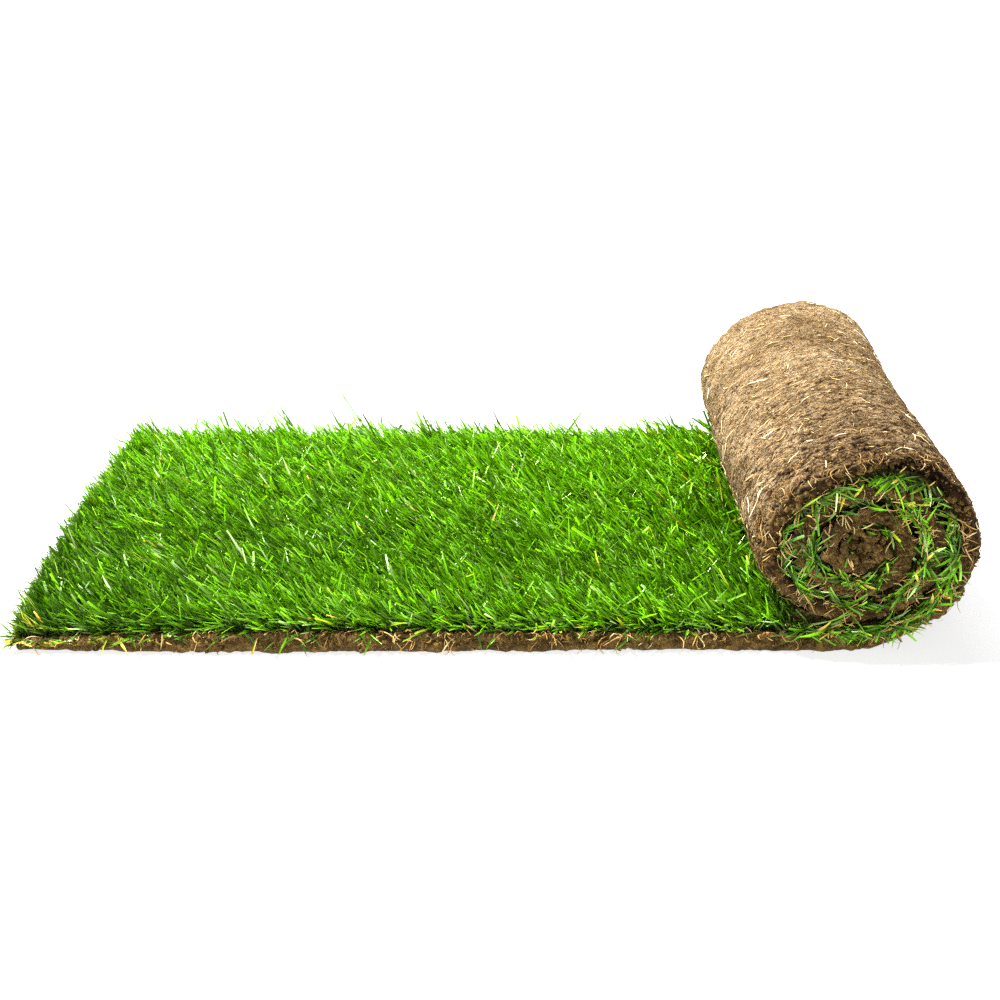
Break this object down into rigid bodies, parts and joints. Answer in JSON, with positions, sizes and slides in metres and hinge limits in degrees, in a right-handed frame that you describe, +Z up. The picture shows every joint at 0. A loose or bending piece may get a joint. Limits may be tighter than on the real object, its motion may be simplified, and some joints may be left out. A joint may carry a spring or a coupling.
{
  "type": "roll of turf",
  "caption": "Strip of lawn turf, one end rolled up with its soil side outward and the rest lying flat with the grass on top, for laying a lawn.",
  "frame": {"origin": "on the floor, under the middle of the whole piece's bounding box", "axes": "+X along the strip from the flat tail's cut end to the roll, +Y across the strip, +Z up out of the lawn"},
  "size_m": [0.7294, 0.4, 0.1622],
  "materials": {
    "soil": "matte, crumbly, fibrous",
    "grass": "satin leaf blades"
  },
  "bodies": {
    "root": {"soil_mat": "soil", "grass_sward": "grass"}
  },
  "joints": []
}
